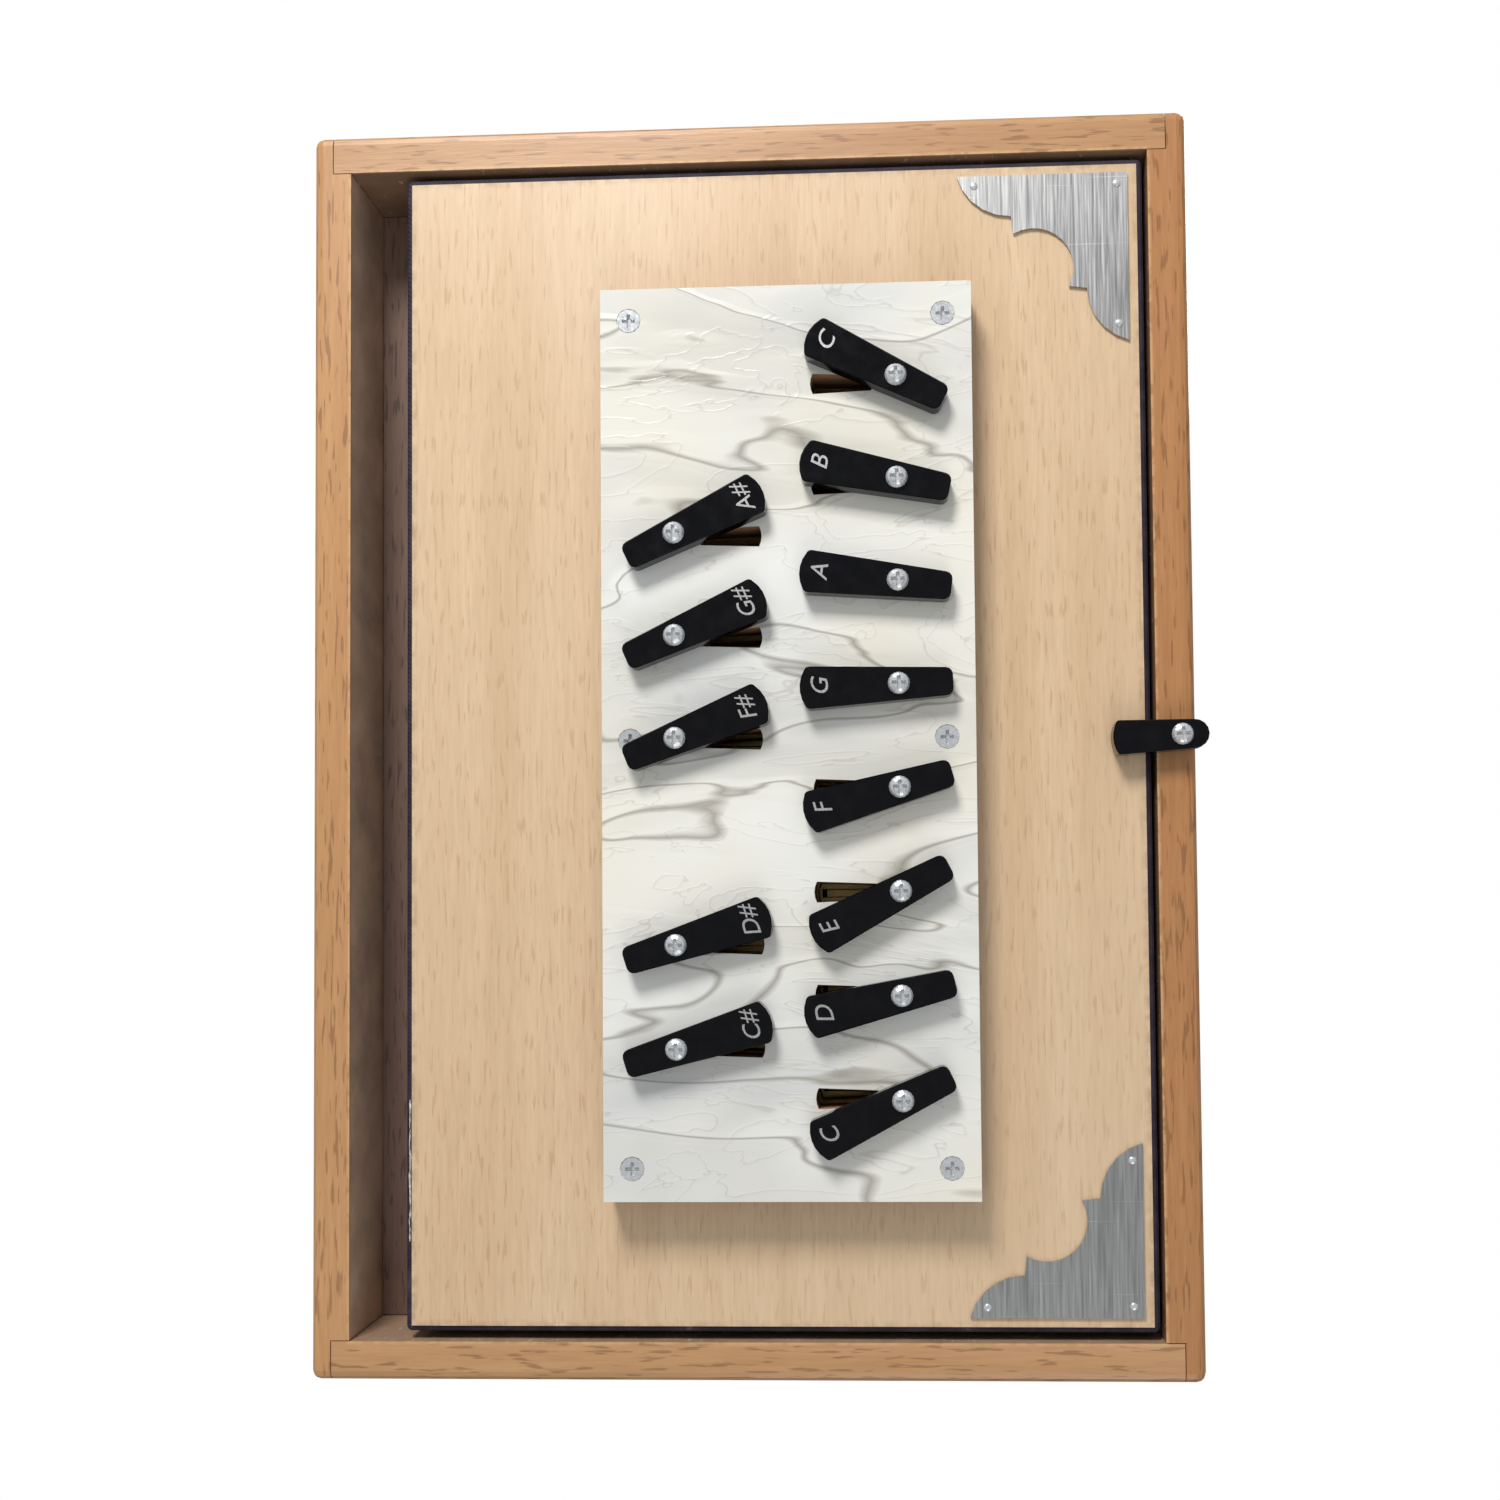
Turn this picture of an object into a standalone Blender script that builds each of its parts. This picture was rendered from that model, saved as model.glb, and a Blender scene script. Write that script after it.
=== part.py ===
"""A shruti box: a hand-pumped drone instrument with thirteen reeds, one under each black tab.

Metres, +Z up. The box stands on its short end, as it was photographed. X runs from the
hinged edge of the bellows boards to their free edge, which the latches hold. Y runs into
the box from the tab face, and Z up it. The origin is the centre of the bottom wall's
underside. A four-walled case carries a wind board in its middle. In front of it lies the
reservoir, whose board carries the tab plate and the reeds, and behind it the pump.
"""

import math

import bmesh
import bpy
from mathutils import Matrix, Vector

MM = 0.001
GAP = 0.3 * MM  # left between pieces that are glued, screwed or laid on each other

# Case: four walls, the long pair with tongues that cover the short pair's end grain
CASE_WIDTH = 281 * MM
CASE_DEPTH = 75 * MM
CASE_HEIGHT = 400 * MM
WALL = 12.5 * MM
TONGUE = 6.5 * MM
EDGE_ROUND = 3.2 * MM
WIND_BOARD = 8 * MM

# The two bellows boards, and the frames on the wind board that they are hinged to
BOARD_LEFT = -108.3 * MM
BOARD_RIGHT = 124.7 * MM
BOARD_BOTTOM = 17.2 * MM
BOARD_TOP = 383.4 * MM
BOARD = 8 * MM
BOARD_SINK = 1.2 * MM  # how far a board's face lies below the case's rim
FRAME = 3.2 * MM
FRAME_WINDOW = ((-98 * MM, 35 * MM), (105 * MM, 365 * MM))  # low and high corner, X and Z
HINGE_X = -104 * MM
RAIL = 6 * MM  # width of the hinge rail, whose round top the board turns on
RAIL_ENDS = 5 * MM  # how much shorter than the board the rail is, at each end
CLOTH_BULGE = 2.2 * MM  # the folded cloth stands out past the board's edges by this
FOLDS = 3
FOLD_DEPTH = 16 * MM  # at the free edge; at the hinge the folds have no depth
FOLD_AT_HINGE = 0.8 * MM
CLOTH_WALL = 2.2 * MM
CLOTH_CORNER = 4 * MM

# Tab plate: a thick block with a pearl sheet, screwed to the reservoir board
PLATE_X = 13.4 * MM
PLATE_Z = 200 * MM
PLATE_WIDTH = 115.5 * MM
PLATE_HEIGHT = 283 * MM
PLATE = 13 * MM
PLATE_SCREW_X = 48.9 * MM
PLATE_SCREW_Z = 131.5 * MM

# Tabs, as they point from the screw towards the middle of the plate
COLUMN_X = 34.2 * MM  # from the plate's middle to each column of screws
PITCH = 31.5 * MM  # between the screws of neighbouring natural notes
TAB = 5.5 * MM
TAB_REACH = 30.2 * MM
TAB_TAIL = 16.5 * MM
TAB_WIDE = 13.1 * MM
TAB_NARROW = 8.4 * MM
TAB_END_RADIUS = 10.3 * MM
SLOT_REACH = 26.5 * MM
SLOT_START = 7.5 * MM
SLOT_WIDE = 6.4 * MM
SLOT_TAPER = math.radians(2.3)
SLOT_END_RADIUS = 6.8 * MM

# Note, steps of the pitch from the low C, column, and the photographed turn of the tab in
# degrees from closed, anticlockwise as the tab face is looked at
NOTES = (
    ("c_low", 0.0, "natural", 25.6),
    ("c_sharp", 0.5, "sharp", 16.9),
    ("d", 1.0, "natural", 13.3),
    ("d_sharp", 1.5, "sharp", 17.4),
    ("e", 2.0, "natural", 27.3),
    ("f", 3.0, "natural", 15.3),
    ("f_sharp", 3.5, "sharp", 21.8),
    ("g", 4.0, "natural", 1.9),
    ("g_sharp", 4.5, "sharp", 23.5),
    ("a", 5.0, "natural", -7.1),
    ("a_sharp", 5.5, "sharp", 25.7),
    ("b", 6.0, "natural", -12.2),
    ("c_high", 7.0, "natural", -27.1),
)
PITCHES_TO_MIDDLE = 3.5

# Screws
SHANK = 1.7 * MM
HOLE = 2.0 * MM
TURNING_HOLE = 2.1 * MM
HEAD = 3.35 * MM
HEAD_HEIGHT = 2.2 * MM
FLAT_HEAD = 3.6 * MM
FLAT_HEAD_DEPTH = 1.9 * MM
CROSS = (4.2 * MM, 1.1 * MM, 1.2 * MM)  # length, width and depth of the recess
TAB_SCREW_IN_PLATE = 8 * MM
PLATE_SCREW_LENGTH = 19 * MM
LATCH_SCREW_IN_WALL = 14 * MM

# Latches, cut from the same stock as the tabs
LATCH = 6 * MM
LATCH_X = 134.8 * MM
LATCH_Z = 200.5 * MM
LATCH_REACH = 21.2 * MM
LATCH_WIDE = 10.7 * MM
LATCH_NARROW = 9 * MM
LATCH_TAIL = 8.4 * MM
FRONT_LATCH_TURN = math.radians(2.3)

# Sheet metal on the free corners of both boards
METAL = 0.6 * MM
METAL_INSET = 3 * MM
METAL_LEG = 54 * MM
OGEE_CENTRE = (36.9 * MM, -4.35 * MM)
OGEE_RADIUS = 17.55 * MM
SPIKE = (36.2 * MM, 18.9 * MM)
BAY_CENTRE = 30 * MM

# Reeds and valves inside
REED_BOARD = 8 * MM
REED_BOARD_HALF = 15.3 * MM
REED_BOARD_END = 15 * MM
REED_PLATE = 1.2 * MM
REED_TONGUE = (2.2 * MM, 18 * MM, 0.5 * MM)  # width, length and thickness
REED_SLOT = (2.8 * MM, 17 * MM)
LEATHER = 1.5 * MM
VALVE_HOLE = 6 * MM
VALVE_HOLES = 5
VALVE_PITCH = 27 * MM
FLAP_WIDTH = 26 * MM
FLAP_HEIGHT = 150 * MM
DELIVERY_X = 90 * MM
INTAKE_X = 60 * MM

# Springs of the reservoir: one wire each, two arms and a coil
WIRE = 1.1 * MM
COIL = 6.5 * MM
COIL_TURNS = 1.5
COIL_STEP = 2.9 * MM
COIL_POINTS = 12
SPRING_X = -84 * MM
SPRING_ARM = 58 * MM
SPRING_SPREAD = 17 * MM
SPRING_HEIGHTS = (75 * MM, 322 * MM)

RIM = CASE_DEPTH / 2
BOARD_FACE = RIM - BOARD_SINK
BOARD_BACK = BOARD_FACE - BOARD
FRAME_FACE = WIND_BOARD / 2 + GAP + FRAME
PLATE_FACE = BOARD_FACE + GAP + PLATE
TAB_FACE = PLATE_FACE + GAP + TAB
LATCH_FACE = RIM + GAP + LATCH
FACING_FRONT = math.radians(90)
FACING_REAR = math.radians(-90)

for old in list(bpy.data.objects):
    bpy.data.objects.remove(old, do_unlink=True)
parts = bpy.data.collections.new("shruti_box")
cutters = bpy.data.collections.new("cutters")
bpy.context.scene.collection.children.link(parts)
bpy.context.scene.collection.children.link(cutters)


def finish(name, colour, roughness, metallic=0.0):
    """A Principled material."""
    made = bpy.data.materials.new(name)
    made.use_nodes = True
    shader = made.node_tree.nodes["Principled BSDF"]
    shader.inputs["Base Color"].default_value = (*colour, 1.0)
    shader.inputs["Roughness"].default_value = roughness
    shader.inputs["Metallic"].default_value = metallic
    return made


CASE_WOOD = finish("varnished_case_wood", (0.48, 0.25, 0.11), 0.4)
DARK_WOOD = finish("dark_stained_wood", (0.09, 0.06, 0.045), 0.6)
BOARD_WOOD = finish("pale_board_veneer", (0.72, 0.52, 0.31), 0.42)
PEARL = finish("pearl_laminate", (0.78, 0.78, 0.73), 0.25)
BLACK = finish("black_gloss_plastic", (0.012, 0.012, 0.014), 0.15)
ZINC = finish("bright_zinc", (0.75, 0.77, 0.8), 0.3, 1.0)
SHEET = finish("brushed_sheet_metal", (0.6, 0.6, 0.6), 0.38, 1.0)
CLOTH = finish("dark_bellows_cloth", (0.02, 0.015, 0.03), 0.8)
REED_WOOD = finish("reed_board_wood", (0.5, 0.34, 0.18), 0.55)
BRASS = finish("reed_brass", (0.72, 0.52, 0.22), 0.3, 1.0)
SUEDE = finish("valve_leather", (0.55, 0.4, 0.26), 0.8)
STEEL = finish("spring_wire", (0.45, 0.45, 0.47), 0.35, 1.0)


def mesh_from(work, name):
    """Ends a bmesh as a mesh with its faces pointing out."""
    bmesh.ops.recalc_face_normals(work, faces=work.faces)
    mesh = bpy.data.meshes.new(name)
    work.to_mesh(mesh)
    work.free()
    return mesh


def evaluated_mesh(helper):
    """The helper's mesh with its modifiers done. The helper goes."""
    bpy.context.view_layer.update()
    graph = bpy.context.evaluated_depsgraph_get()
    mesh = bpy.data.meshes.new_from_object(helper.evaluated_get(graph))
    bpy.data.objects.remove(helper, do_unlink=True)
    return mesh


def helper_object(name, data):
    """An object that only serves to make others."""
    helper = bpy.data.objects.new(name, data)
    helper.hide_render = True
    helper.display_type = "WIRE"
    cutters.objects.link(helper)
    return helper


def place(name, data, material, location=(0, 0, 0), rotation=(0, 0, 0), axis=None):
    """A piece in world coordinates. Its parent, if any, is an empty on its joint's axis."""
    piece = bpy.data.objects.new(name, data)
    parts.objects.link(piece)
    if not data.materials:
        data.materials.append(material)
    piece.location = Vector(location)
    piece.rotation_euler = rotation
    if axis:
        piece.parent = axis
        piece.location -= axis.location
    return piece


def boolean(piece, operation, other):
    step = piece.modifiers.new(other.name, "BOOLEAN")
    step.operation = operation
    step.solver = "EXACT"
    step.object = other


def box_mesh(size):
    work = bmesh.new()
    bmesh.ops.create_cube(work, size=1.0)
    bmesh.ops.scale(work, vec=size, verts=work.verts)
    return mesh_from(work, "box")


def box(name, low, high, material, axis=None):
    """A box from its low to its high corner, with its origin in its middle."""
    low, high = Vector(low), Vector(high)
    return place(name, box_mesh(high - low), material, (low + high) / 2, axis=axis)


def box_cutter(name, low, high):
    low, high = Vector(low), Vector(high)
    helper = helper_object(name, box_mesh(high - low))
    helper.location = (low + high) / 2
    return helper


def arc(centre, radius, first, last, steps):
    """Points along an arc, its angles in radians."""
    angles = [first + (last - first) * i / steps for i in range(steps + 1)]
    return [(centre[0] + radius * math.cos(a), centre[1] + radius * math.sin(a)) for a in angles]


def rounded_corner(before, corner, after, radius, steps):
    """Points of the arc that rounds one corner of an outline."""
    before, corner, after = Vector(before), Vector(corner), Vector(after)
    back = (before - corner).normalized()
    on = (after - corner).normalized()
    half = back.angle(on) / 2
    centre = corner + (back + on).normalized() * (radius / math.sin(half))
    spoke = corner + back * (radius / math.tan(half)) - centre
    turn = math.copysign(math.pi - 2 * half, back.y * on.x - back.x * on.y)
    first = math.atan2(spoke.y, spoke.x)
    return arc(centre, radius, first, first + turn, steps)


def flat_mesh(outline, thickness):
    """A plate with this outline in X and Y, from z = 0 up to its thickness."""
    curve = bpy.data.curves.new("outline", "CURVE")
    curve.dimensions = "2D"
    curve.fill_mode = "BOTH"
    curve.extrude = thickness / 2
    spline = curve.splines.new("POLY")
    spline.points.add(len(outline) - 1)
    for point, (x, y) in zip(spline.points, outline):
        point.co = (x, y, 0, 1)
    spline.use_cyclic_u = True
    work = bmesh.new()
    work.from_mesh(evaluated_mesh(helper_object("outline", curve)))
    bmesh.ops.remove_doubles(work, verts=work.verts, dist=1e-7)
    bmesh.ops.dissolve_limit(work, angle_limit=math.radians(0.5), verts=work.verts, edges=work.edges)
    bmesh.ops.translate(work, vec=(0, 0, thickness / 2), verts=work.verts)
    return mesh_from(work, "plate")


def turned_mesh(profile, steps):
    """A turned solid about Z. The profile runs down its outer side, from axis to axis."""
    work = bmesh.new()
    points = [work.verts.new((r, 0, z)) for r, z in profile]
    for upper, lower in zip(points, points[1:]):
        work.edges.new((upper, lower))
    mesh = bpy.data.meshes.new("profile")
    work.to_mesh(mesh)
    work.free()
    helper = helper_object("profile", mesh)
    turn = helper.modifiers.new("turn", "SCREW")
    turn.steps = steps
    turn.render_steps = steps
    turn.use_merge_vertices = True
    turn.merge_threshold = 1e-6
    return evaluated_mesh(helper)


def hole_cutter(name, places, radius, near, far, sides=12, mouth=None):
    """Round holes along Y, each from near to far, countersunk at near if a mouth is given."""
    length = abs(far - near)
    profile = [(0, 0), (radius, 0), (radius, -length), (0, -length)]
    if mouth:
        profile[1:2] = [(mouth, 0), (radius, radius - mouth)]
    hole = turned_mesh(profile, sides)
    facing = FACING_FRONT if far > near else FACING_REAR
    work = bmesh.new()
    for x, z in places:
        work.from_mesh(hole)
        spot = Matrix.Translation((x, near, z)) @ Matrix.Rotation(facing, 4, "X")
        bmesh.ops.transform(work, matrix=spot, verts=work.verts[-len(hole.vertices):])
    return helper_object(name, mesh_from(work, name))


def cross_cut(profile, top):
    """A turned screw with a cross recess in its head."""
    length, width, depth = CROSS
    screw = helper_object("screw", turned_mesh(profile, 16))
    for x, y in ((length, width), (width, length)):
        arm = box_cutter("recess", (-x / 2, -y / 2, top - depth), (x / 2, y / 2, top + depth))
        boolean(screw, "DIFFERENCE", arm)
    return evaluated_mesh(screw)


def domed_screw(reach):
    """A pan-head screw. z = 0 is the underside of its head."""
    profile = [
        (0, HEAD_HEIGHT),
        (0.55 * HEAD, 0.93 * HEAD_HEIGHT),
        (0.85 * HEAD, 0.66 * HEAD_HEIGHT),
        (HEAD, 0.2 * HEAD_HEIGHT),
        (HEAD, 0),
        (SHANK, 0),
        (SHANK, -reach + SHANK),
        (0, -reach),
    ]
    return cross_cut(profile, HEAD_HEIGHT)


def flat_screw(reach):
    """A countersunk screw. z = 0 is the face of its head."""
    profile = [
        (0, 0),
        (FLAT_HEAD, 0),
        (SHANK, -FLAT_HEAD_DEPTH),
        (SHANK, -reach + SHANK),
        (0, -reach),
    ]
    return cross_cut(profile, 0)


def note_place(steps, column):
    """X and Z of a note's tab screw."""
    x = PLATE_X + (COLUMN_X if column == "natural" else -COLUMN_X)
    return x, PLATE_Z + (steps - PITCHES_TO_MIDDLE) * PITCH


def towards_middle(column):
    """The turn that points a closed tab of this column at the middle of the plate."""
    return math.pi if column == "natural" else 0.0


# Case walls, cut from one block with rounded edges
block = box_cutter("rounded_block", (-CASE_WIDTH / 2, -RIM, 0), (CASE_WIDTH / 2, RIM, CASE_HEIGHT))
rounding = block.modifiers.new("rounding", "BEVEL")
rounding.width = EDGE_ROUND
rounding.segments = 3
INNER_X = CASE_WIDTH / 2 - WALL
TONGUE_X = CASE_WIDTH / 2 - TONGUE
latch_hole = hole_cutter("front_latch_hole", [(LATCH_X, LATCH_Z)], HOLE, -RIM - GAP, -RIM + LATCH_SCREW_IN_WALL)
rear_latch_hole = hole_cutter("rear_latch_hole", [(LATCH_X, LATCH_Z)], HOLE, RIM + GAP, RIM - LATCH_SCREW_IN_WALL)
for name, side in (("hinge_side_wall", -1), ("latch_side_wall", 1)):
    inner, outer = sorted((side * INNER_X, side * CASE_WIDTH / 2))
    wall = box(name, (inner, -RIM, 0), (outer, RIM, CASE_HEIGHT), CASE_WOOD)
    boolean(wall, "INTERSECT", block)
    near, far = sorted((side * (INNER_X - WALL), side * TONGUE_X))
    for end, low, high in (
        ("bottom", -WALL, WALL + GAP),
        ("top", CASE_HEIGHT - WALL - GAP, CASE_HEIGHT + WALL),
    ):
        notch = box_cutter(name + "_notch_" + end, (near, -CASE_DEPTH, low), (far, CASE_DEPTH, high))
        boolean(wall, "DIFFERENCE", notch)
    if side > 0:
        boolean(wall, "DIFFERENCE", latch_hole)
        boolean(wall, "DIFFERENCE", rear_latch_hole)
for name, low in (("bottom_wall", 0), ("top_wall", CASE_HEIGHT - WALL)):
    reach = TONGUE_X - GAP
    wall = box(name, (-reach, -RIM, low), (reach, RIM, low + WALL), CASE_WOOD)
    boolean(wall, "INTERSECT", block)

# Wind board, with the holes that let air from the pump into the reservoir
valve_heights = [PLATE_Z + (i - (VALVE_HOLES - 1) / 2) * VALVE_PITCH for i in range(VALVE_HOLES)]
wind_board = box(
    "wind_board",
    (-INNER_X + GAP, -WIND_BOARD / 2, WALL + GAP),
    (INNER_X - GAP, WIND_BOARD / 2, CASE_HEIGHT - WALL - GAP),
    DARK_WOOD,
)
delivery = hole_cutter("delivery_holes", [(DELIVERY_X, z) for z in valve_heights], VALVE_HOLE, -RIM, RIM)
boolean(wind_board, "DIFFERENCE", delivery)


def bellows_frame(name, side):
    """The frame that is glued to the wind board, with the rail that the board is hinged on."""
    near, far = sorted((side * (WIND_BOARD / 2 + GAP), side * FRAME_FACE))
    frame = box(
        name,
        (-INNER_X + GAP, near, WALL + GAP),
        (INNER_X - GAP, far, CASE_HEIGHT - WALL - GAP),
        DARK_WOOD,
    )
    (left, bottom), (right, top) = FRAME_WINDOW
    window = box_cutter(name + "_window", (left, -side * RIM, bottom), (right, side * RIM, top))
    boolean(frame, "DIFFERENCE", window)
    radius = RAIL / 2
    crown = side * (BOARD_BACK - GAP - radius)
    foot = side * (FRAME_FACE - FRAME / 2)
    turn = math.pi * side
    outline = [(HINGE_X - radius, foot), (HINGE_X + radius, foot)]
    outline += arc((HINGE_X, crown), radius, 0, turn, 8)
    length = BOARD_TOP - BOARD_BOTTOM - 2 * RAIL_ENDS
    rail = helper_object(name + "_rail", flat_mesh(outline, length))
    rail.location.z = BOARD_BOTTOM + RAIL_ENDS
    boolean(frame, "UNION", rail)
    return frame


def bellows_loop(hinge_inset, free_inset, y):
    """One level of the bellows: the board's outline, drawn in more at the free edge."""
    left = BOARD_LEFT - CLOTH_BULGE + hinge_inset
    right = BOARD_RIGHT + CLOTH_BULGE - free_inset
    low, high = BOARD_BOTTOM - CLOTH_BULGE, BOARD_TOP + CLOTH_BULGE
    corners = (
        (left, low + hinge_inset),
        (right, low + free_inset),
        (right, high - free_inset),
        (left, high - hinge_inset),
    )
    points = []
    for i, corner in enumerate(corners):
        points += rounded_corner(corners[i - 1], corner, corners[(i + 1) % 4], CLOTH_CORNER, 2)
    return [(x, y, z) for x, z in points]


def bellows(name, side):
    """The folded cloth: a ring whose folds are deepest at the free edge."""
    top = side * (BOARD_BACK - GAP)
    bottom = side * (FRAME_FACE + GAP)
    levels = []
    for i in range(2 * FOLDS + 1):
        y = top + (bottom - top) * i / (2 * FOLDS)
        drawn_in = i % 2
        levels.append((FOLD_AT_HINGE * drawn_in, FOLD_DEPTH * drawn_in, y))
    loops = [bellows_loop(a, b, y) for a, b, y in levels]
    loops += [bellows_loop(a + CLOTH_WALL, b + CLOTH_WALL, y) for a, b, y in reversed(levels)]
    work = bmesh.new()
    rings = [[work.verts.new(point) for point in loop] for loop in loops]
    for i, ring in enumerate(rings):
        following = rings[(i + 1) % len(rings)]
        for j, corner in enumerate(ring):
            k = (j + 1) % len(ring)
            work.faces.new((corner, ring[k], following[k], following[j]))
    bmesh.ops.triangulate(work, faces=work.faces)
    return place(name, mesh_from(work, name), CLOTH)


def hinge_axis(name, side):
    axis = bpy.data.objects.new(name, None)
    parts.objects.link(axis)
    axis.location = (HINGE_X, side * BOARD_BACK, PLATE_Z)
    return axis


def bellows_board(name, side, axis):
    near, far = sorted((side * BOARD_BACK, side * BOARD_FACE))
    return box(name, (BOARD_LEFT, near, BOARD_BOTTOM), (BOARD_RIGHT, far, BOARD_TOP), BOARD_WOOD, axis)


front_axis = hinge_axis("reservoir_hinge_axis", -1)
rear_axis = hinge_axis("pump_hinge_axis", 1)
bellows_frame("reservoir_frame", -1)
bellows_frame("pump_frame", 1)
bellows("reservoir_bellows", -1)
bellows("pump_bellows", 1)
reservoir_board = bellows_board("reservoir_board", -1, front_axis)
pump_board = bellows_board("pump_board", 1, rear_axis)
intake = hole_cutter("intake_holes", [(INTAKE_X, z) for z in valve_heights], VALVE_HOLE, 0, CASE_DEPTH)
boolean(pump_board, "DIFFERENCE", intake)

# Leather valves: the delivery flap lies on the wind board, the intake flap under the pump board
for name, x, low, high, axis in (
    ("delivery_valve_flap", DELIVERY_X, -WIND_BOARD / 2 - GAP - LEATHER, -WIND_BOARD / 2 - GAP, None),
    ("intake_valve_flap", INTAKE_X, BOARD_BACK - GAP - LEATHER, BOARD_BACK - GAP, rear_axis),
):
    box(
        name,
        (x - FLAP_WIDTH / 2, low, PLATE_Z - FLAP_HEIGHT / 2),
        (x + FLAP_WIDTH / 2, high, PLATE_Z + FLAP_HEIGHT / 2),
        SUEDE,
        axis,
    )

# Sound slots, one under each tab: they taper as the tab does, and end in an arc
slot_half = SLOT_WIDE / 2
slot_end = SLOT_REACH - SLOT_END_RADIUS
slot_angle = math.asin(slot_half / SLOT_END_RADIUS)
corner_x = slot_end + SLOT_END_RADIUS * math.cos(slot_angle)
start_half = slot_half - (corner_x - SLOT_START) * math.tan(SLOT_TAPER)
slot_outline = [(SLOT_START, start_half), (SLOT_START, -start_half)]
slot_outline += arc((slot_end, 0), SLOT_END_RADIUS, -slot_angle, slot_angle, 4)
slot_depth = PLATE_FACE - BOARD_BACK + REED_BOARD + 4 * GAP
slot_mesh = flat_mesh(slot_outline, slot_depth)
slots = bmesh.new()
for note, steps, column, turn in NOTES:
    x, z = note_place(steps, column)
    spot = Matrix.Translation((x, -PLATE_FACE + slot_depth - GAP, z))
    spot @= Matrix.Rotation(FACING_FRONT, 4, "X") @ Matrix.Rotation(towards_middle(column), 4, "Z")
    slots.from_mesh(slot_mesh)
    fresh = slots.verts[-len(slot_mesh.vertices):]
    bmesh.ops.transform(slots, matrix=spot, verts=fresh)
slot_cutter = helper_object("sound_slots", mesh_from(slots, "sound_slots"))
boolean(reservoir_board, "DIFFERENCE", slot_cutter)

# Tab plate
plate_screws = [(PLATE_X + i * PLATE_SCREW_X, PLATE_Z + k * PLATE_SCREW_Z) for i in (-1, 1) for k in (-1, 0, 1)]
tab_plate = box(
    "tab_plate",
    (PLATE_X - PLATE_WIDTH / 2, -PLATE_FACE, PLATE_Z - PLATE_HEIGHT / 2),
    (PLATE_X + PLATE_WIDTH / 2, -PLATE_FACE + PLATE, PLATE_Z + PLATE_HEIGHT / 2),
    PEARL,
    front_axis,
)
boolean(tab_plate, "DIFFERENCE", slot_cutter)
tab_places = [note_place(steps, column) for note, steps, column, turn in NOTES]
pilot_end = -PLATE_FACE + TAB_SCREW_IN_PLATE + 2 * GAP
boolean(tab_plate, "DIFFERENCE", hole_cutter("tab_screw_holes", tab_places, HOLE, -PLATE_FACE - GAP, pilot_end, 8))
plate_holes = hole_cutter("plate_screw_holes", plate_screws, HOLE, -PLATE_FACE - GAP, -BOARD_BACK + GAP, 12, FLAT_HEAD + 2 * GAP)
boolean(tab_plate, "DIFFERENCE", plate_holes)
boolean(reservoir_board, "DIFFERENCE", plate_holes)
flat_screw_mesh = flat_screw(PLATE_SCREW_LENGTH)
for i, (x, z) in enumerate(plate_screws, 1):
    place(f"plate_screw_{i}", flat_screw_mesh, ZINC, (x, -PLATE_FACE, z), (FACING_FRONT, 0, 0), front_axis)

# Tabs: tapered bars with an arc at the wide end, turning on their screws
tab_angle = math.asin(TAB_WIDE / 2 / TAB_END_RADIUS)
tab_centre = TAB_REACH - TAB_END_RADIUS
tab_corner = (tab_centre + TAB_END_RADIUS * math.cos(tab_angle), -TAB_WIDE / 2)
tab_tail = (-TAB_TAIL, -TAB_NARROW / 2)
past_corner = (tab_corner[0] + math.sin(tab_angle), tab_corner[1] + math.cos(tab_angle))
lower_side = rounded_corner((-TAB_TAIL, 0), tab_tail, tab_corner, 2.2 * MM, 3)
lower_side += rounded_corner(tab_tail, tab_corner, past_corner, 1.5 * MM, 2)
end_arc = arc((tab_centre, 0), TAB_END_RADIUS, -0.85 * tab_angle, 0.85 * tab_angle, 5)
tab_outline = lower_side + end_arc + [(x, -y) for x, y in reversed(lower_side)]


def turning_bar(outline, thickness):
    """A flat bar with softened face edges and a hole for the screw that it turns on."""
    bar = helper_object("bar", flat_mesh(outline, thickness))
    soften = bar.modifiers.new("soften", "BEVEL")
    soften.width = 0.35 * MM
    soften.segments = 1
    soften.limit_method = "ANGLE"
    soften.angle_limit = math.radians(60)
    work = bmesh.new()
    bmesh.ops.create_cone(
        work, cap_ends=True, segments=12, radius1=TURNING_HOLE, radius2=TURNING_HOLE, depth=4 * thickness
    )
    boolean(bar, "DIFFERENCE", helper_object("turning_hole", mesh_from(work, "turning_hole")))
    return evaluated_mesh(bar)


tab_mesh = turning_bar(tab_outline, TAB)
tab_screw_mesh = domed_screw(TAB + 2 * GAP + TAB_SCREW_IN_PLATE)
for note, steps, column, turn in NOTES:
    x, z = note_place(steps, column)
    angle = towards_middle(column) + math.radians(turn)
    place(f"tab_{note}", tab_mesh, BLACK, (x, GAP * -1 - PLATE_FACE, z), (FACING_FRONT, -angle, 0), front_axis)
    place(f"tab_screw_{note}", tab_screw_mesh, ZINC, (x, -TAB_FACE - GAP, z), (FACING_FRONT, 0, 0), front_axis)

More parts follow.
